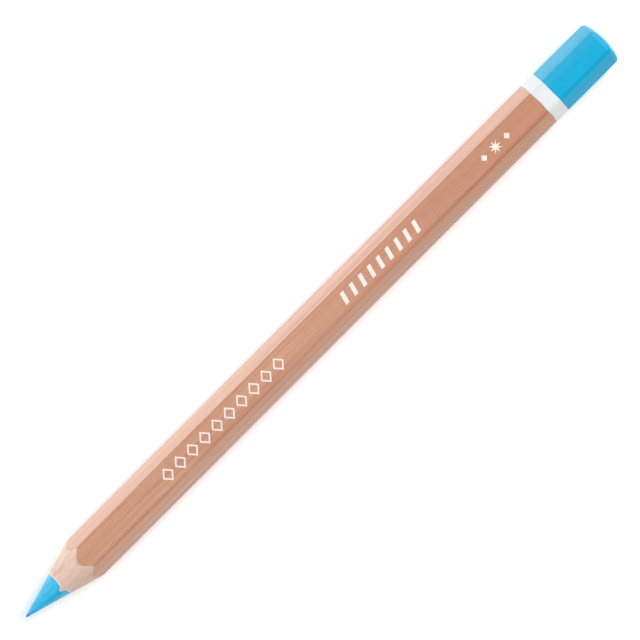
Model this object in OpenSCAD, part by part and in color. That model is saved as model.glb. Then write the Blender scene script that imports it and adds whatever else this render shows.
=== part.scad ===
// Jumbo wood-cased coloured pencil, sharpened, lying on one flat of its hexagonal barrel.
// Two grooved slats are glued round a thick core and shaped to a rounded hexagon. The barrel is
// varnished and stamped, and its end is dipped twice: in a white undercoat, then in the core's colour.
// The pencil lies along X with its point at -X. The origin is on the surface that it rests on,
// under the middle of its length.

/* [Barrel] */
// Overall length. Sharpening shortens the pencil from the front.
pencil_length = 175; // [160:1:190]
// Width of the varnished barrel across its flats
across_flats = 9.5; // [9:0.1:12]
// Radius of the six long edges
edge_radius = 1; // [0.4:0.1:1.6]

/* [Core] */
// Diameter of the coloured core
core_diameter = 6; // [3:0.1:6.4]
// Thickness of the glue round the core and between the slats
glue_film = 0.1; // [0.06:0.01:0.15]

/* [Point] */
// Full angle of the sharpened cone
point_angle = 32; // [24:1:40]
// Radius of the worn writing tip
tip_radius = 0.28; // [0.1:0.01:0.6]

/* [Varnish and dips] */
// Thickness of the clear varnish on the barrel
varnish_film = 0.08; // [0.05:0.01:0.12]
// Thickness of each dipped coat along the barrel
dip_film = 0.05; // [0.04:0.01:0.1]
// Distance from the end to the edge of the white undercoat
undercoat_reach = 19.6; // [17.5:0.1:26]
// Distance from the end to the edge of the coloured dip
dip_reach = 16.1; // [6:0.1:16.5]
// Thickness of the white undercoat on the end
undercoat_pool = 0.15; // [0.1:0.01:0.3]
// Thickness of the coloured dip where it pools on the end
dip_pool = 0.4; // [0.2:0.05:0.6]
// Radius of the rounded rim of the end
rim_radius = 1.1; // [0.6:0.1:1.4]
// Radius of the shallow dome of the end
dome_radius = 16; // [12:1:40]

/* [Stamped marks] */
// Number of lozenges in the long row
lozenge_count = 10; // [3:1:10]
// Number of slanted strokes in the short row
stroke_count = 9; // [3:1:9]
// Number of points on the star
star_points = 8; // [4:2:12]
// Height of the lozenges across the facet
mark_height = 3.4; // [2:0.1:3.8]
// Thickness of the stamped pigment
stamp_film = 0.03; // [0.02:0.01:0.05]

/* [Hidden] */
$fn = 64;

// Distances from the axis to the flats, from the bare wood outwards
varnish_flat = across_flats / 2;
wood_flat = varnish_flat - varnish_film;
undercoat_flat = varnish_flat + dip_film;
dip_flat = undercoat_flat + dip_film;

// The long edges of all the coats share their centres, so each coat has an even thickness.
edge_centre = (varnish_flat - edge_radius) / cos(30);
function edge_radius_at(flat) = flat - varnish_flat + edge_radius;
// The round edges stand this much proud of the flats, so that the two cross cleanly.
edge_proud = 0.001;

core_radius = core_diameter / 2;
groove_radius = core_radius + glue_film;

// Distances along the axis, from the point
undercoat_end = pencil_length - dip_pool;
wood_end = undercoat_end - undercoat_pool;
undercoat_start = pencil_length - undercoat_reach;
dip_start = pencil_length - dip_reach;

// The cone's sides meet the round tip at a tangent, and would meet each other at the apex.
cone_half_angle = point_angle / 2;
cone_apex = tip_radius - tip_radius / sin(cone_half_angle);

// Sizes that clear the barrel, for shapes that are cut back to it
clear_radius = across_flats;
clear_length = pencil_length + across_flats;

// How far the rim's widest ring stands clear of the long edges
rim_clearance = 0.03;

axis_height = dip_flat;

// The marks are stamped before the first sharpening, so their places count from the dipped end.
lozenge_start = pencil_length - 133.7;
lozenge_pitch = 3.7;
lozenge_length = 3;
lozenge_line = 0.45;
stroke_start = pencil_length - 79.7;
stroke_pitch = 2.7;
stroke_width = 1;
stroke_height = mark_height * 0.8;
stroke_lean = 0.7;
star_centre = pencil_length - 33.2;
star_length = mark_height * 0.9;
ray_width = 0.7;
spark_length = 1.6;
spark_offset = mark_height;

// Turned form of the whole pencil, to the end given: the round tip, the cone, and a rounded rim
// that runs into a shallow dome. It is wide open between the cone and the rim.
module turned_form(end, flat) {
    rim_offset = edge_centre + edge_radius_at(flat) + rim_clearance - rim_radius;
    dome_angle = asin(rim_offset / (dome_radius - rim_radius));
    dome_direction = [sin(dome_angle), cos(dome_angle)];
    dome_centre = [0, end - dome_radius];
    rim_centre = dome_centre + (dome_radius - rim_radius) * dome_direction;
    dome_edge = dome_centre + dome_radius * dome_direction;

    rotate_extrude() {
        intersection() {
            translate([0, tip_radius]) circle(tip_radius);
            square(2 * tip_radius);
        }
        polygon([
            [0, tip_radius],
            tip_radius * [cos(cone_half_angle), 1 - sin(cone_half_angle)],
            [clear_radius, cone_apex + clear_radius / tan(cone_half_angle)],
            [clear_radius, rim_centre[1]],
            rim_centre,
            dome_edge,
            [0, dome_edge[1]]
        ]);
        translate(rim_centre) circle(rim_radius);
        intersection() {
            translate(dome_centre) circle(dome_radius);
            translate([0, dome_edge[1]]) square(dome_edge[0]);
        }
    }
}

// Rounded hexagon whose flats are this far from its centre, two of them towards +X and -X
module rounded_hexagon(flat) {
    radius = edge_radius_at(flat);
    corners = [for (side = [0 : 5]) edge_centre * [cos(30 + 60 * side), sin(30 + 60 * side)]];
    polygon([
        for (side = [0 : 5], turn = [0, 60])
            corners[side] + radius * [cos(60 * side + turn), sin(60 * side + turn)]
    ]);
    for (corner = corners) translate(corner) circle(radius + edge_proud);
}

// Lays what is drawn along +Z down along +X, at the height of the pencil's axis.
// What was towards -X then faces up.
module lay_down() {
    translate([-pencil_length / 2, 0, axis_height]) rotate([0, 90, 0]) children();
}

// The full length of a cross-section of the barrel, sharpened and trimmed to the wood's end
module sharpened() {
    intersection() {
        linear_extrude(clear_length) children();
        turned_form(wood_end, varnish_flat);
    }
}

// Half of the bare barrel, with its half of the groove for the core. side is -1 for the upper half.
module slat(side) {
    color("#e4c3b2") lay_down() sharpened() difference() {
        intersection() {
            rounded_hexagon(wood_flat);
            translate([side * (across_flats + glue_film) / 2, 0])
                square([across_flats, 2 * across_flats], center = true);
        }
        circle(groove_radius);
    }
}

module core() {
    color("#2fa9e6") lay_down() sharpened() circle(core_radius);
}

module core_glue() {
    color("#f3e6da") lay_down() sharpened() difference() {
        circle(groove_radius);
        circle(core_radius);
    }
}

// The glue between the slats on one side of the core. side is 1 for the left, towards +Y.
module seam_glue(side) {
    color("#c9a184") lay_down() sharpened() difference() {
        intersection() {
            rounded_hexagon(wood_flat);
            translate([0, side * across_flats / 2]) square([glue_film, across_flats], center = true);
        }
        circle(groove_radius);
    }
}

module clear_varnish() {
    color("#d39d7e") lay_down() sharpened() difference() {
        rounded_hexagon(varnish_flat);
        rounded_hexagon(wood_flat);
    }
}

// The barrel with its flats this far out, from start to a domed end
module end_form(flat, start, end) {
    intersection() {
        translate([0, 0, start]) linear_extrude(clear_length - start) rounded_hexagon(flat);
        turned_form(end, flat);
    }
}

// A dipped coat: a cap from start to end, over the coat that lies under it
module dipped_coat(flat, start, end, under_flat, under_end) {
    lay_down() difference() {
        end_form(flat, start, end);
        end_form(under_flat, start - 1, under_end);
    }
}

module white_undercoat() {
    color("#eff3f4")
        dipped_coat(undercoat_flat, undercoat_start, undercoat_end, varnish_flat, wood_end);
}

module blue_dip() {
    color("#22aee0")
        dipped_coat(dip_flat, dip_start, pencil_length, undercoat_flat, undercoat_end);
}

// Stamps flat marks on the top facet, this far from the point
module stamped(distance) {
    color("#fbf0e8")
        translate([distance - pencil_length / 2, 0, axis_height + varnish_flat])
            linear_extrude(stamp_film) children();
}

module lozenge(length, height) {
    polygon([[-length / 2, 0], [0, -height / 2], [length / 2, 0], [0, height / 2]]);
}

// A row of outlined lozenges
module stamped_lozenges() {
    inner_scale = 1 - 2 * lozenge_line / lozenge_length;
    for (i = [0 : lozenge_count - 1])
        stamped(lozenge_start + lozenge_length / 2 + i * lozenge_pitch) difference() {
            lozenge(lozenge_length, mark_height);
            scale(inner_scale) lozenge(lozenge_length, mark_height);
        }
}

// A row of bold strokes that lean forwards
module stamped_strokes() {
    for (i = [0 : stroke_count - 1])
        stamped(stroke_start + stroke_width / 2 + i * stroke_pitch) polygon([
            [-stroke_width / 2, -stroke_height / 2],
            [stroke_width / 2, -stroke_height / 2],
            [stroke_width / 2 + stroke_lean, stroke_height / 2],
            [-stroke_width / 2 + stroke_lean, stroke_height / 2]
        ]);
}

// A star of slim rays, with a small lozenge before and after it
module stamped_star() {
    stamped(star_centre) {
        for (ray = [1 : star_points / 2])
            rotate(360 / star_points * ray) lozenge(star_length, ray_width);
        for (side = [-1, 1])
            translate([side * spark_offset, 0]) lozenge(spark_length, spark_length);
    }
}

slat(-1);  // upper_slat
slat(1);  // lower_slat
core();
core_glue();
seam_glue(1);  // left_seam_glue
seam_glue(-1);  // right_seam_glue
clear_varnish();
white_undercoat();
blue_dip();
stamped_lozenges();
stamped_strokes();
stamped_star();
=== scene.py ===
"""A jumbo coloured pencil that lies on one flat of its barrel.

The CAD frame gives every size and place. The wood, the core, the glue and the coats are rebuilt here as
closed meshes, with the small unevenness of a pencil that was planed, varnished, dipped and sharpened.
The stamped marks are the CAD's own, with a finer material.
"""
import math

import bmesh
import bpy
import numpy as np
from mathutils import Matrix, Vector, noise


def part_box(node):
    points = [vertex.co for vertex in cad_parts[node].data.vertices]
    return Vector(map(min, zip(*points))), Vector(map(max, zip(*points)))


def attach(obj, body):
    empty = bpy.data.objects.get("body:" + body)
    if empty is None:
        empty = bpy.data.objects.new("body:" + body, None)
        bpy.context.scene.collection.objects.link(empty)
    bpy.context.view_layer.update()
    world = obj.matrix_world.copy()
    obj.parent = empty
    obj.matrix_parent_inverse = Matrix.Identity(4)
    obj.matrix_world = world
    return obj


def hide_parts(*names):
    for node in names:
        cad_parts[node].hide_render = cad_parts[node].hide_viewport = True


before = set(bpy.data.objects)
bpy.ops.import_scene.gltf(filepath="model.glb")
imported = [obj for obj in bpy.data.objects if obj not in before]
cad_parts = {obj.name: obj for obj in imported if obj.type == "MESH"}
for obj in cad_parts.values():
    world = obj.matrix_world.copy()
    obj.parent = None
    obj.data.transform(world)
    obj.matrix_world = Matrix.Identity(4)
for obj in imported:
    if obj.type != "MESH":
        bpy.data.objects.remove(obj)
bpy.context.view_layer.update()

# ---------------------------------------------------------------- sizes, in metres, from the CAD's boxes

MM = 0.001
COS_30 = math.cos(math.radians(30))


def low(node):
    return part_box(node)[0]


def high(node):
    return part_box(node)[1]


AXIS_Z = (low("clear_varnish").z + high("clear_varnish").z) / 2
POINT_X = low("core").x
WOOD_END_X = high("core").x
UNDERCOAT_END_X = high("white_undercoat").x
END_X = high("blue_dip").x
MIDDLE_X = (POINT_X + END_X) / 2
UNDERCOAT_X = low("white_undercoat").x
DIP_X = low("blue_dip").x

# distances from the axis to the flats of each coat
WOOD_FLAT = high("upper_slat").z - AXIS_Z
VARNISH_FLAT = high("clear_varnish").z - AXIS_Z
UNDERCOAT_FLAT = high("white_undercoat").z - AXIS_Z
DIP_FLAT = high("blue_dip").z - AXIS_Z

CORE_RADIUS = high("core").y
GROOVE_RADIUS = high("core_glue").y
SEAM_HALF = high("left_seam_glue").z - AXIS_Z

# the long edges are round about six lines, which all the coats share
VARNISH_REACH = high("clear_varnish").y
EDGE_RADIUS = (VARNISH_FLAT / COS_30 - VARNISH_REACH) / (1 / COS_30 - 1)
# the planing left some edges sharper than others: each radius as a share of the CAD's, from +Y round
EDGE_SHARES = (0.6, 0.7, 1.0, 0.6, 0.8, 0.9)
# a dipped coat draws back from the edges, so its edges are rounder: extra radius per extra distance
DRAWN_BACK = 5
# the four side flats are slightly crowned: how far their middles stand out
CROWN = 0.08 * MM
# faces that turn by more than this where they meet are shaded with a sharp edge
SHARP_TURN = math.radians(38)

# the sharpened cone, from where it meets the groove and where it meets the bare flats
CONE_SLOPE = (WOOD_FLAT - GROOVE_RADIUS) / (low("clear_varnish").x - low("upper_slat").x)
CONE_ANGLE = math.atan(CONE_SLOPE)
APEX_X = low("upper_slat").x - GROOVE_RADIUS / CONE_SLOPE
TIP_RADIUS = (POINT_X - APEX_X) / (1 / math.sin(CONE_ANGLE) - 1)
SHOULDER_X = APEX_X + VARNISH_REACH / CONE_SLOPE
# how much the blade hollows the cone at most
CONE_HOLLOW = 0.035 * MM
# the fine turned lines that the sharpener's blade leaves on the wood
BLADE_PITCH = 0.3 * MM
BLADE_DEPTH = 0.004 * MM

# the core's cut edge isn't even. It has waves all round: (how many, start in radians, height)
CORE_WAVES = ((3, 0.7, 0.02 * MM), (5, 2.1, 0.018 * MM), (11, 0, 0.01 * MM))
# and chips and a swelling: (middle and half width in degrees, height)
CORE_CHIPS = ((116, 11, -0.29 * MM), (165, 18, 0.13 * MM), (230, 12, -0.16 * MM))
# how far behind the cone the core and its glue are even again
SETTLING = 2 * MM

# the varnish's cut edge: how far it frays, and how far it is chipped back at the +Y and -Y edges
FRAY = 0.04 * MM
CHIPPED_BACK = 0.35 * MM

# the dipped end: a rounded rim that runs into a shallow dome
RIM_RADIUS = 1.1 * MM
DOME_RADIUS = 16 * MM
# radius of the dome's innermost loop, which is capped flat
DOME_MIDDLE = 0.25 * MM

# how finely the meshes follow each shape
CORRECTIONS = 4
TIP_STEPS = 9
CONE_STEPS = 44
RIM_STEPS = 9
DOME_STEPS = 8
BARREL_STEP = 0.6 * MM
SEAM_STEPS = 2
# the round tip starts with a loop just off its pole: degrees back from its widest place
TIP_START = -86
# distances behind a dip's edge: close-set where the coat builds up, then from FAR_FROM_DIP in even steps
NEAR_DIP = np.array([0, 0.03, 0.07, 0.12, 0.19, 0.28, 0.38, 0.5, 0.65, 0.85, 1.1]) * MM
FAR_FROM_DIP = 1.5 * MM

# ---------------------------------------------------------------- outlines

# directions round the pencil, which all the meshes share, in degrees: 0 is towards +Y and 90 is up.
# The long edges are at whole multiples of EDGE_TO_EDGE, and the directions are close-set near them.
SIDES = 6
EDGE_TO_EDGE = 60
NEAR_EDGE = [0, 1, 2, 3, 4, 5, 6.2, 7.6, *np.linspace(9.5, 30, 11)]
ONE_SIDE = NEAR_EDGE + [EDGE_TO_EDGE - turn for turn in NEAR_EDGE[-2:0:-1]]
ANGLES = np.radians([EDGE_TO_EDGE * side + turn for side in range(SIDES) for turn in ONE_SIDE])
ROUND = np.column_stack([np.cos(ANGLES), np.sin(ANGLES)])
POINTS_ROUND = len(ANGLES)
HALF_ROUND = POINTS_ROUND // 2


def reach(flat):
    """Distance of the barrel's outline from the axis in each direction, with its flats this far out."""
    edge_to_edge = math.radians(EDGE_TO_EDGE)
    side = np.round(ANGLES / edge_to_edge)
    off_edge = np.abs(ANGLES - side * edge_to_edge)
    extra = flat - VARNISH_FLAT
    shares = np.array(EDGE_SHARES)[side.astype(int) % SIDES]
    radius = shares * EDGE_RADIUS + extra * (DRAWN_BACK if extra > 0 else 1)
    middle = (flat - radius) / COS_30
    arc_end = np.arctan2(radius / 2, middle + radius * COS_30)
    aside = middle * np.sin(off_edge)
    on_arc = middle * np.cos(off_edge) + np.sqrt(np.maximum(radius**2 - aside**2, 0))
    on_flat = flat / np.cos(edge_to_edge / 2 - off_edge)
    outline = np.where(off_edge < arc_end, on_arc, on_flat)
    on_side = np.abs(ROUND[:, 1]) < COS_30
    return outline + on_side * CROWN * (1 - np.cos(SIDES * off_edge)) / 2


def ring(x, radius):
    """A loop of points round the axis. x and radius are one number, or one for each direction."""
    radius = np.broadcast_to(radius, POINTS_ROUND)
    x = np.broadcast_to(x, POINTS_ROUND)
    return np.column_stack([x, radius * ROUND[:, 0], AXIS_Z + radius * ROUND[:, 1]])


def cone_radius(x):
    """Radius of the sharpened cone. The blade leaves it slightly hollow."""
    along = (x - POINT_X) / (SHOULDER_X - POINT_X)
    return CONE_SLOPE * (x - APEX_X) - CONE_HOLLOW * np.sin(math.pi * along)


def cone_x(radius):
    """Where the sharpened cone has this radius: a first guess, corrected a few times for the hollow."""
    x = APEX_X + radius / CONE_SLOPE
    for _ in range(CORRECTIONS):
        x = x + (radius - cone_radius(x)) / CONE_SLOPE
    return x


def end_profile(radii, end, inner_radius):
    """Rows of (x, radius) over the rim and the dome, from a side with these radii to inner_radius."""
    rim_line = radii - RIM_RADIUS
    dome_turn = np.arcsin(rim_line / (DOME_RADIUS - RIM_RADIUS))
    dome_x = end - DOME_RADIUS
    rim_x = dome_x + (DOME_RADIUS - RIM_RADIUS) * np.cos(dome_turn)
    rows = []
    for share in np.linspace(0, 1, RIM_STEPS + 1):
        turn = share * (math.pi / 2 - dome_turn)
        rows.append((rim_x + RIM_RADIUS * np.sin(turn), rim_line + RIM_RADIUS * np.cos(turn)))
    for share in np.linspace(0, 1, DOME_STEPS + 1)[1:]:
        turn = dome_turn + share * (np.arcsin(inner_radius / DOME_RADIUS) - dome_turn)
        rows.append((dome_x + DOME_RADIUS * np.cos(turn), DOME_RADIUS * np.sin(turn)))
    return rows


def wood_end_x(radius):
    """Where the domed end of the core and its glue has this radius."""
    return WOOD_END_X - DOME_RADIUS + math.sqrt(DOME_RADIUS**2 - radius**2)


def core_edge():
    """Radius of the core in each direction, where the cone cuts it: not quite even."""
    radius = np.full(POINTS_ROUND, CORE_RADIUS)
    for count, start, height in CORE_WAVES:
        radius += height * np.sin(count * ANGLES + start)
    for middle, half_width, height in CORE_CHIPS:
        radius += height * np.exp(-(((np.degrees(ANGLES) - middle) / half_width) ** 2))
    return radius


# ---------------------------------------------------------------- mesh code

def unevenness(points, length, width, seed):
    """Smooth noise from -1 to 1 at each point, with features this long along the pencil and this wide."""
    scale = np.array([1 / length, 1 / width, 1 / width])
    return np.array([noise.noise(Vector(point * scale) + Vector((seed, 0, 0))) for point in points])


def pushed_in(points, depth, length, width, seed):
    """The points moved towards the axis, by up to depth."""
    amount = depth * (0.5 + 0.5 * unevenness(points, length, width, seed))
    across = points[:, 1:] - np.array([0, AXIS_Z])
    across *= (1 - amount / np.hypot(across[:, 0], across[:, 1]))[:, None]
    return np.column_stack([points[:, 0], across[:, 0], AXIS_Z + across[:, 1]])


def piece(name, rows, material, stands_for, rows_meet=False):
    """A closed mesh through rows of points, each row a loop.

    With rows_meet the last row joins the first. Otherwise the first and the last row are capped.
    """
    rows = np.array(rows)
    count, width = rows.shape[:2]
    index = np.arange(count * width).reshape(count, width)
    faces = []
    for i in range(count if rows_meet else count - 1):
        a, b = index[i], index[(i + 1) % count]
        faces += np.column_stack([a, np.roll(a, -1), np.roll(b, -1), b]).tolist()
    if not rows_meet:
        faces += [index[0][::-1].tolist(), index[-1].tolist()]
    mesh = bpy.data.meshes.new(name)
    mesh.from_pydata(rows.reshape(-1, 3).tolist(), [], faces)
    shape = bmesh.new()
    shape.from_mesh(mesh)
    bmesh.ops.recalc_face_normals(shape, faces=shape.faces)
    shape.to_mesh(mesh)
    shape.free()
    mesh.polygons.foreach_set("use_smooth", [True] * len(mesh.polygons))
    mesh.set_sharp_from_angle(angle=SHARP_TURN)
    made = bpy.data.objects.new(name, mesh)
    bpy.context.scene.collection.objects.link(made)
    made.data.materials.append(material)
    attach(made, "root")
    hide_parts(stands_for)


# ---------------------------------------------------------------- the pieces

def make_core(material):
    """The coloured core: a round tip, a waxy cone with an uneven edge, and a plain rod inside the wood."""
    edge = core_edge()
    edge_x = cone_x(edge)
    rows = []
    for turn in np.radians(np.linspace(TIP_START, -math.degrees(CONE_ANGLE), TIP_STEPS)):
        x = POINT_X + TIP_RADIUS + TIP_RADIUS * math.sin(turn)
        rows.append(ring(x, TIP_RADIUS * math.cos(turn)))
    cone_start = POINT_X + TIP_RADIUS * (1 - math.sin(CONE_ANGLE))
    for share in np.linspace(0, 1, CONE_STEPS + 1)[1:]:
        x = cone_start + share * (edge_x - cone_start)
        points = ring(x, cone_radius(x))
        rows.append(pushed_in(points, depth=0.012 * MM, length=0.5 * MM, width=0.4 * MM, seed=3))
    for x in (edge_x.max() + SETTLING, MIDDLE_X, WOOD_END_X - RIM_RADIUS):
        rows.append(ring(x, CORE_RADIUS))
    for share in np.linspace(1, 0, DOME_STEPS + 1)[:-1]:
        rows.append(ring(wood_end_x(share * CORE_RADIUS), share * CORE_RADIUS))
    piece("coloured_core", rows, material, "core")


def make_core_glue(material):
    """The sleeve of glue between the core and the wood. Its cut end shows as a pale line on the cone."""
    inner = core_edge()
    outer = inner + GROOVE_RADIUS - CORE_RADIUS
    inner_x, outer_x = cone_x(inner), cone_x(outer)
    settled_x = outer_x.max() + SETTLING
    back_x = wood_end_x(GROOVE_RADIUS)
    rows = [
        ring(inner_x, inner),
        ring(outer_x, outer),
        ring(settled_x, GROOVE_RADIUS),
        ring(back_x, GROOVE_RADIUS),
        ring(back_x, CORE_RADIUS),
        ring(settled_x, CORE_RADIUS),
    ]
    piece("core_glue_sleeve", rows, material, "core_glue", rows_meet=True)


def wood_profile():
    """The slats' profile in each direction, as rows of (x, radius).

    It runs up the cone, along the barrel, over the end and back along the groove.
    """
    inner = core_edge() + GROOVE_RADIUS - CORE_RADIUS
    outer = reach(WOOD_FLAT)
    inner_x, outer_x = cone_x(inner), cone_x(outer)
    rows = []
    for share in np.linspace(0, 1, CONE_STEPS + 1):
        x = inner_x + share * (outer_x - inner_x)
        rows.append((x, cone_radius(x)))
    rows += end_profile(outer, WOOD_END_X, GROOVE_RADIUS)
    settled_x = np.full(POINTS_ROUND, inner_x.max() + SETTLING)
    rows.append((settled_x, np.full(POINTS_ROUND, GROOVE_RADIUS)))
    return rows


def blade_marks(x, radius):
    """Depth of the blade's turned lines, which are on the cone only."""
    on_cone = np.isclose(radius, cone_radius(x), rtol=0, atol=0.001 * MM)
    return np.where(on_cone, BLADE_DEPTH * (1 + np.sin(2 * math.pi * x / BLADE_PITCH + ANGLES)), 0)


def make_slat(name, node, side, material):
    """One slat: half of the wooden barrel. side is 1 for the upper half and -1 for the lower."""
    profile = [(x, radius - blade_marks(x, radius)) for x, radius in wood_profile()]
    loops = []
    for i in range(HALF_ROUND + 1):
        k = (i if side > 0 else i + HALF_ROUND) % POINTS_ROUND
        loop = [(x[k], radius[k] * ROUND[k, 0], radius[k] * ROUND[k, 1]) for x, radius in profile]
        seam = [(x, y, side * max(side * z, SEAM_HALF)) for x, y, z in loop]
        loops.append([(x, y, AXIS_Z + z) for x, y, z in seam])
    piece(name, loops, material, node)


def make_seam_glue(name, node, side, material):
    """The film of glue between the slats on one side of the core. side is 1 towards +Y."""
    k = 0 if side > 0 else HALF_ROUND
    loops = []
    for z in np.linspace(-SEAM_HALF, SEAM_HALF, SEAM_STEPS + 1):
        loops.append([(x[k], side * radius[k], AXIS_Z + z) for x, radius in wood_profile()])
    piece(name, loops, material, node)


def make_varnish(material):
    """The varnished surface of the barrel: a thin shell, scalloped in front where the sharpener cut it."""
    bare, full = reach(WOOD_FLAT), reach(VARNISH_FLAT)
    frayed = FRAY * (1 + unevenness(ring(0, full), length=1, width=0.35 * MM, seed=8))
    chipped = CHIPPED_BACK * ROUND[:, 0] ** 4
    front = cone_x(full) + frayed + chipped
    back = end_profile(full, WOOD_END_X, DOME_MIDDLE)[0][0]
    count = round((UNDERCOAT_X - POINT_X) / BARREL_STEP)
    rows = [ring(front, full)]
    for share in np.linspace(0, 1, count + 1)[1:]:
        points = ring(front + share * (back - front), full)
        points = pushed_in(points, depth=0.012 * MM, length=25 * MM, width=0.5 * MM, seed=1)
        rows.append(pushed_in(points, depth=0.02 * MM, length=9 * MM, width=3 * MM, seed=5))
    rows += [ring(back, bare), ring(front, bare)]
    piece("varnished_barrel", rows, material, "clear_varnish", rows_meet=True)


def coat_build(distance):
    """How thick a dipped coat is, as a share of its film, this far behind its edge.

    It starts as a low step, builds up fast to a soft bead, and levels out a little thinner.
    """
    step, build, bead = 0.1, 0.6, 0.3
    build_length, bead_place, bead_length = 0.07 * MM, 0.3 * MM, 0.22 * MM
    built_up = 1 - math.exp(-distance / build_length)
    in_bead = math.exp(-(((distance - bead_place) / bead_length) ** 2))
    return step + build * built_up + bead * in_bead


def make_coat(name, node, material, flats, start, ends, tilt, edge_bow, seed):
    """A dipped cap over the end. flats and ends are for what lies under it, then for the coat itself.

    Its edge is further forward by tilt[0] at +Y, by tilt[1] at the top and by edge_bow at each long edge.
    """
    under, over = reach(flats[0]), reach(flats[1])
    ragged = 0.03 * MM * unevenness(ring(0, over), length=1, width=1.2 * MM, seed=seed)
    tilted = tilt[0] * ROUND[:, 0] + tilt[1] * ROUND[:, 1]
    edge = start + ragged - tilted - edge_bow * (1 + np.cos(SIDES * ANGLES)) / 2
    over_end = end_profile(over, ends[1], DOME_MIDDLE)
    under_end = end_profile(under, ends[0], DOME_MIDDLE)
    rows = [ring(x, radius) for x, radius in reversed(under_end)]
    rows.append(ring(edge, under))
    length = over_end[0][0] - edge
    for distance in [*NEAR_DIP, *np.arange(FAR_FROM_DIP, length.min(), BARREL_STEP)]:
        points = ring(edge + distance, under + coat_build(distance) * (over - under))
        rows.append(pushed_in(points, depth=0.008 * MM, length=2 * MM, width=1.5 * MM, seed=seed))
    rows += [ring(x, radius) for x, radius in over_end]
    piece(name, rows, material, node)


# ---------------------------------------------------------------- material code

def new_material(name, **settings):
    """A node material, and its main shader, with these inputs set."""
    material = bpy.data.materials.new(name)
    material.use_nodes = True
    shader = material.node_tree.nodes["Principled BSDF"]
    for key, value in settings.items():
        shader.inputs[key.replace("_", " ").title().replace("Ior", "IOR")].default_value = value
    return material, shader


def add_node(tree, kind, inputs=None, **settings):
    """A new node. Each input is given a value or joined to another node's output."""
    node = tree.nodes.new(kind)
    for key, value in settings.items():
        setattr(node, key, value)
    for key, value in (inputs or {}).items():
        if isinstance(value, bpy.types.NodeSocket):
            tree.links.new(value, node.inputs[key])
        else:
            node.inputs[key].default_value = value
    return node


def calculate(tree, operation, first, second=0.0):
    return add_node(tree, "ShaderNodeMath", {0: first, 1: second}, operation=operation).outputs[0]


def remap(tree, value, from_low, from_high, to_low=0.0, to_high=1.0):
    """value moved from one range to another, smoothly, and held at its ends."""
    inputs = {0: value, 1: from_low, 2: from_high, 3: to_low, 4: to_high}
    node = add_node(tree, "ShaderNodeMapRange", inputs, interpolation_type="SMOOTHSTEP")
    return node.outputs[0]


def blend(tree, share, first, second, blend_type="MIX"):
    """Two colours mixed by share."""
    inputs = {0: share, 6: first, 7: second}
    node = add_node(tree, "ShaderNodeMix", inputs, data_type="RGBA", blend_type=blend_type)
    return node.outputs[2]


def colour(red, green, blue):
    return (red, green, blue, 1.0)


def stretched_noise(tree, place, length, width, seed=0.0, detail=2.0):
    """Noise with features this long along the pencil and this wide across it, in metres."""
    scale = (1 / length, 1 / width, 1 / width)
    mapping = {"Vector": place, "Location": (seed, seed, seed), "Scale": scale}
    stretched = add_node(tree, "ShaderNodeMapping", mapping).outputs[0]
    texture = {"Vector": stretched, "Scale": 1.0, "Detail": detail}
    return add_node(tree, "ShaderNodeTexNoise", texture).outputs[0]


def add_bump(tree, shader, height, depth, socket="Normal"):
    """Relief from a height between 0 and 1, depth metres deep."""
    bump = add_node(tree, "ShaderNodeBump", {"Height": height, "Strength": 1.0, "Distance": depth})
    tree.links.new(bump.outputs[0], shader.inputs[socket])


def object_place(tree):
    return add_node(tree, "ShaderNodeTexCoord").outputs["Object"]


def separate(tree, place):
    """The X, Y and Z of a place."""
    return add_node(tree, "ShaderNodeSeparateXYZ", {0: place}).outputs


def wood_place(tree):
    """Places in the wood. The lower slat's are moved away, so that the grain changes at the seam."""
    place = object_place(tree)
    in_lower_slat = calculate(tree, "LESS_THAN", separate(tree, place)["Z"], AXIS_Z)
    away = add_node(tree, "ShaderNodeCombineXYZ", {0: in_lower_slat, 1: in_lower_slat}).outputs[0]
    return add_node(tree, "ShaderNodeVectorMath", {0: place, 1: away}, operation="ADD").outputs[0]


# the parts of the wood's figure, each a noise that is remapped to run from 0 to 1:
# (length, width, seed, detail, the noise's value where the part starts, and where it is full)
GRAIN = {
    "growth": (60 * MM, 0.7 * MM, 4.0, 1.5, 0.35, 0.65),
    "dark streaks": (42 * MM, 1.5 * MM, 11.0, 1.0, 0.54, 0.72),
    "pale streaks": (30 * MM, 1.1 * MM, 27.0, 1.0, 0.56, 0.74),
    "fibres": (9 * MM, 0.14 * MM, 9.0, 2.0, 0.3, 0.7),
    "pores": (1.6 * MM, 0.09 * MM, 17.0, 0.0, 0.68, 0.8),
    "patches": (12 * MM, 4 * MM, 23.0, 1.0, 0.35, 0.65),
}


def wood_grain(tree, place):
    """The parts of the wood's figure, by name."""
    grain = {}
    for part, (length, width, seed, detail, start, full) in GRAIN.items():
        figure = stretched_noise(tree, place, length, width, seed, detail)
        grain[part] = remap(tree, figure, start, full)
    return grain


def wood_colour(tree, grain, pale, deep, dark, bright):
    """Wood whose growth bands run from a pale to a deep colour, with rarer dark and bright streaks."""
    paint = blend(tree, grain["growth"], pale, deep)
    layers = (
        ("patches", 0.3, deep, "MIX"),
        ("dark streaks", 0.6, dark, "MIX"),
        ("pale streaks", 0.5, bright, "MIX"),
        ("fibres", 0.16, dark, "MIX"),
        ("pores", 0.3, dark, "MULTIPLY"),
    )
    for part, strength, tone, blend_type in layers:
        paint = blend(tree, calculate(tree, "MULTIPLY", grain[part], strength), paint, tone, blend_type)
    return paint


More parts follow.
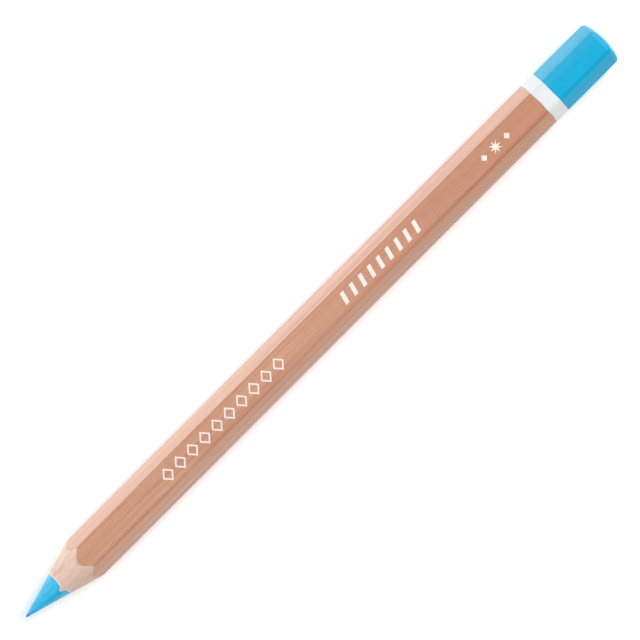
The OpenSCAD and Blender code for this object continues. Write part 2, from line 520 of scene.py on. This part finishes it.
def varnished_wood():
    """Cedar under clear satin varnish.

    It is darker towards the dipped end, redder and a little darker towards -Y as painted shade, and a faint
    dark line is painted along the seam at the long edges at +Y and -Y.
    """
    material, shader = new_material("varnished_wood", coat_weight=1.0, coat_roughness=0.3, coat_ior=1.5)
    tree = material.node_tree
    place = wood_place(tree)
    grain = wood_grain(tree, place)
    pale, deep = colour(0.52, 0.257, 0.155), colour(0.48, 0.222, 0.125)
    dark, bright = colour(0.40, 0.16, 0.085), colour(0.58, 0.335, 0.23)
    darker_tone, minus_y_shade_tone = colour(0.91, 0.78, 0.68), colour(0.98, 0.94, 0.89)
    seam_tone = colour(0.33, 0.15, 0.09)
    paint = wood_colour(tree, grain, pale, deep, dark, bright)
    spot = separate(tree, object_place(tree))
    darker = remap(tree, spot["X"], -10 * MM, UNDERCOAT_X)
    paint = blend(tree, darker, paint, darker_tone, "MULTIPLY")
    # painted shade: redder and a little darker towards -Y, the side turned from the light
    painted_shade_minus_y = remap(tree, spot["Y"], -0.5 * MM, -2.2 * MM)
    paint = blend(tree, painted_shade_minus_y, paint, minus_y_shade_tone, "MULTIPLY")
    # a faint dark line painted along the seam's height, at the long edges at +Y and -Y
    off_seam = calculate(tree, "ABSOLUTE", calculate(tree, "SUBTRACT", spot["Z"], AXIS_Z))
    seam = remap(tree, off_seam, 0.03 * MM, 0.09 * MM, 0.55, 0.0)
    tree.links.new(blend(tree, seam, paint, seam_tone), shader.inputs["Base Color"])
    tree.links.new(remap(tree, grain["fibres"], 0, 1, 0.48, 0.6), shader.inputs["Roughness"])
    add_bump(tree, shader, grain["fibres"], depth=0.006 * MM)
    add_bump(tree, shader, grain["patches"], depth=0.006 * MM, socket="Coat Normal")
    return material


def raw_wood():
    """Bare cedar as the sharpener's blade leaves it: paler and pinker, with fine turned lines."""
    material, shader = new_material("raw_wood", specular_ior_level=0.8)
    tree = material.node_tree
    place = wood_place(tree)
    grain = wood_grain(tree, place)
    pale, deep = colour(0.68, 0.50, 0.41), colour(0.62, 0.43, 0.345)
    dark, bright = colour(0.53, 0.31, 0.235), colour(0.72, 0.56, 0.48)
    paint = wood_colour(tree, grain, pale, deep, dark, bright)
    tree.links.new(paint, shader.inputs["Base Color"])
    tree.links.new(remap(tree, grain["fibres"], 0, 1, 0.5, 0.65), shader.inputs["Roughness"])
    cuts = stretched_noise(tree, place, length=0.12 * MM, width=2.5 * MM, seed=31.0)
    fibre_height = calculate(tree, "MULTIPLY", grain["fibres"], 0.7)
    add_bump(tree, shader, calculate(tree, "ADD", fibre_height, cuts), depth=0.008 * MM)
    return material


def waxy_core():
    """Pigment in wax and clay: a soft sheen, with turned streaks, specks of binder and a darkened tip."""
    material, shader = new_material("waxy_core", specular_ior_level=0.55)
    tree = material.node_tree
    place = object_place(tree)
    deep, pale = colour(0.004, 0.37, 0.62), colour(0.012, 0.44, 0.70)
    binder, dulled = colour(0.25, 0.6, 0.8), colour(0.02, 0.10, 0.16)
    clouds = stretched_noise(tree, place, length=2 * MM, width=1.2 * MM, seed=12.0)
    paint = blend(tree, remap(tree, clouds, 0.35, 0.65), deep, pale)
    specks = stretched_noise(tree, place, length=0.12 * MM, width=0.12 * MM, seed=6.0, detail=1.0)
    paint = blend(tree, remap(tree, specks, 0.62, 0.75, 0.0, 0.14), paint, binder)
    along = separate(tree, place)["X"]
    at_tip = remap(tree, along, POINT_X + 0.3 * MM, POINT_X + 1.2 * MM, 0.65, 0.0)
    tree.links.new(blend(tree, at_tip, paint, dulled), shader.inputs["Base Color"])
    streaks = stretched_noise(tree, place, length=0.15 * MM, width=1.8 * MM, seed=2.0)
    tree.links.new(remap(tree, streaks, 0.3, 0.7, 0.3, 0.42), shader.inputs["Roughness"])
    add_bump(tree, shader, streaks, depth=0.012 * MM)
    return material


def dried_glue():
    """Pale dried glue."""
    material, shader = new_material("dried_glue", roughness=0.5)
    tree = material.node_tree
    deep, pale = colour(0.60, 0.48, 0.42), colour(0.70, 0.61, 0.56)
    clouds = stretched_noise(tree, object_place(tree), length=0.5 * MM, width=0.3 * MM, seed=3.0)
    tree.links.new(blend(tree, clouds, deep, pale), shader.inputs["Base Color"])
    return material


def lacquer(name, full, thin, plus_y_painted_light, roughness):
    """Dipped lacquer with a faint orange-peel surface. It is thinner in places, and towards +Y it takes a
    colour that stands in for the light there: a painted sheen on the blue, painted shade on the white.
    """
    material, shader = new_material(name, specular_ior_level=0.2)
    tree = material.node_tree
    place = object_place(tree)
    clouds = stretched_noise(tree, place, length=4 * MM, width=2.5 * MM, seed=5.0)
    paint = blend(tree, remap(tree, clouds, 0.35, 0.7), full, thin)
    # painted light towards +Y: the colour blends into the one given for that side
    plus_y_light_share = remap(tree, separate(tree, place)["Y"], 0, WOOD_FLAT)
    tree.links.new(blend(tree, plus_y_light_share, paint, plus_y_painted_light), shader.inputs["Base Color"])
    fine = stretched_noise(tree, place, length=0.25 * MM, width=0.25 * MM, seed=14.0, detail=1.0)
    tree.links.new(remap(tree, fine, 0.3, 0.7, roughness, roughness + 0.08), shader.inputs["Roughness"])
    peel = stretched_noise(tree, place, length=0.9 * MM, width=0.9 * MM, seed=8.0, detail=1.0)
    add_bump(tree, shader, peel, depth=0.005 * MM)
    return material


def stamping_foil():
    """Warm white pigment foil, pressed into the varnish, with pinholes where it missed a pore."""
    material, shader = new_material("stamping_foil", specular_ior_level=0.4)
    tree = material.node_tree
    place = object_place(tree)
    deep, pale, wood_below = colour(0.77, 0.67, 0.61), colour(0.83, 0.76, 0.71), colour(0.5, 0.27, 0.17)
    clouds = stretched_noise(tree, place, length=1.5 * MM, width=0.8 * MM, seed=7.0)
    paint = blend(tree, clouds, deep, pale)
    pinholes = stretched_noise(tree, place, length=0.35 * MM, width=0.1 * MM, seed=19.0, detail=1.0)
    paint = blend(tree, remap(tree, pinholes, 0.66, 0.74, 0.0, 0.6), paint, wood_below)
    tree.links.new(paint, shader.inputs["Base Color"])
    tree.links.new(remap(tree, clouds, 0.3, 0.7, 0.45, 0.6), shader.inputs["Roughness"])
    add_bump(tree, shader, clouds, depth=0.006 * MM)
    return material


# ---------------------------------------------------------------- the scene round the pencil

# the floor is wide enough to fill every view
FLOOR_HALF = 14.0
# how strongly it glows, and how little below the pencil and close by towards -Y, so that shadows show
FLOOR_GLOW = 1.2
LEAST_GLOW = 0.15
# how far from the pencil's middle the glow starts to grow again, and where it is full
GLOW_GROWS_FROM = 0.12
GLOW_FULL_FROM = 0.35

WORLD_STRENGTH = 0.12
# each softbox faces the pencil: (name, place, size, power in watts)
SOFTBOXES = (
    ("top_softbox", (0.0, 0.05, 1.5), 1.1, 2.0),
    ("left_softbox", (-0.95, 0.95, 0.55), 0.7, 6.0),
    ("end_softbox", (1.05, -0.08, 1.2), 1.2, 28.5),
    ("point_softbox", (-1.3, -0.02, 0.9), 1.0, 11.0),
)


def make_floor():
    """A plain pale sheet, lit like a light table."""
    mesh = bpy.data.meshes.new("floor")
    corners = [(x * FLOOR_HALF, y * FLOOR_HALF, 0) for x, y in ((-1, -1), (1, -1), (1, 1), (-1, 1))]
    mesh.from_pydata(corners, [], [(0, 1, 2, 3)])
    floor = bpy.data.objects.new("floor", mesh)
    bpy.context.scene.collection.objects.link(floor)
    material, shader = new_material("light_table", roughness=0.9, specular_ior_level=0.1)
    shader.inputs["Base Color"].default_value = colour(0.9, 0.9, 0.9)
    shader.inputs["Emission Color"].default_value = colour(1.0, 1.0, 1.0)
    tree = material.node_tree
    place = object_place(tree)
    towards_minus_y = remap(tree, separate(tree, place)["Y"], VARNISH_REACH, 3 * VARNISH_REACH, 1.0, 0.0)
    away = add_node(tree, "ShaderNodeVectorMath", {0: place}, operation="LENGTH").outputs["Value"]
    close_by = remap(tree, away, GLOW_GROWS_FROM, GLOW_FULL_FROM, 1.0, 0.0)
    dimmed = calculate(tree, "MULTIPLY", towards_minus_y, close_by)
    glow = remap(tree, dimmed, 0, 1, FLOOR_GLOW, LEAST_GLOW)
    tree.links.new(glow, shader.inputs["Emission Strength"])
    material.cycles.emission_sampling = "NONE"
    mesh.materials.append(material)


def make_softbox(name, place, size, power):
    data = bpy.data.lights.new(name, "AREA")
    data.shape = "SQUARE"
    data.size = size
    data.energy = power
    light = bpy.data.objects.new(name, data)
    bpy.context.scene.collection.objects.link(light)
    light.location = place
    light.rotation_mode = "QUATERNION"
    light.rotation_quaternion = (Vector((0, 0, AXIS_Z)) - Vector(place)).to_track_quat("-Z", "Y")
    light.visible_camera = False


def make_world():
    """Even, faint light from all round."""
    world = bpy.data.worlds.new("studio")
    world.use_nodes = True
    background = world.node_tree.nodes["Background"]
    background.inputs["Color"].default_value = colour(1.0, 1.0, 1.0)
    background.inputs["Strength"].default_value = WORLD_STRENGTH
    bpy.context.scene.world = world


def make_camera():
    """A long lens, almost straight above. The pencil runs from lower left to upper right in the picture."""
    lean_to_point, lean_to_right = math.radians(2.6), math.radians(0.9)
    pencil_turn = math.radians(45.02)
    distance = 2.0
    length = END_X - POINT_X
    view_width = 0.7826 * length
    shift_right, shift_up = 0.0054 * length, 0.0089 * length
    middle = Vector((MIDDLE_X, 0, AXIS_Z))

    back = Vector((-math.sin(lean_to_point), -math.sin(lean_to_right), 1)).normalized()
    along = Vector((1, 0, 0))
    along = (along - along.dot(back) * back).normalized()
    across = back.cross(along)
    right = math.cos(pencil_turn) * along - math.sin(pencil_turn) * across
    up = math.sin(pencil_turn) * along + math.cos(pencil_turn) * across
    aim = middle + shift_right * right + shift_up * up

    data = bpy.data.cameras.new("camera")
    data.sensor_width = 36
    data.lens = data.sensor_width * distance / view_width
    data.clip_start, data.clip_end = 0.1, 100
    camera = bpy.data.objects.new("camera", data)
    bpy.context.scene.collection.objects.link(camera)
    turn = Matrix((right, up, back)).transposed().to_4x4()
    camera.matrix_world = Matrix.Translation(aim + distance * back) @ turn
    bpy.context.scene.camera = camera


# ---------------------------------------------------------------- putting it together

wood = raw_wood()
glue = dried_glue()
make_core(waxy_core())
make_core_glue(glue)
make_slat("upper_wood", "upper_slat", 1, wood)
make_slat("lower_wood", "lower_slat", -1, wood)
make_seam_glue("left_seam", "left_seam_glue", 1, glue)
make_seam_glue("right_seam", "right_seam_glue", -1, glue)
make_varnish(varnished_wood())
white_lacquer = lacquer(
    "white_lacquer",
    full=colour(0.69, 0.72, 0.725),
    thin=colour(0.66, 0.69, 0.70),
    # painted shade towards +Y: a darker white
    plus_y_painted_light=colour(0.61, 0.64, 0.66),
    roughness=0.3,
)
make_coat(
    "white_ring", "white_undercoat", white_lacquer,
    flats=(VARNISH_FLAT, UNDERCOAT_FLAT),
    start=UNDERCOAT_X,
    ends=(WOOD_END_X, UNDERCOAT_END_X),
    tilt=(0.03 * MM, 0.05 * MM),
    edge_bow=0.15 * MM,
    seed=2,
)
blue_lacquer = lacquer(
    "blue_lacquer",
    full=colour(0.0, 0.335, 0.56),
    thin=colour(0.0, 0.35, 0.585),
    # painted sheen towards +Y: a paler, duller blue
    plus_y_painted_light=colour(0.045, 0.35, 0.55),
    roughness=0.32,
)
make_coat(
    "blue_end", "blue_dip", blue_lacquer,
    flats=(UNDERCOAT_FLAT, DIP_FLAT),
    start=DIP_X,
    ends=(UNDERCOAT_END_X, END_X),
    tilt=(0, 0.15 * MM),
    edge_bow=0,
    seed=6,
)
foil = stamping_foil()
for node in ("stamped_lozenges", "stamped_strokes", "stamped_star"):
    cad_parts[node].data.materials.clear()
    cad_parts[node].data.materials.append(foil)

make_floor()
make_world()
for softbox in SOFTBOXES:
    make_softbox(*softbox)
make_camera()
bpy.context.scene.view_settings.view_transform = "Standard"

bpy.context.view_layer.update()
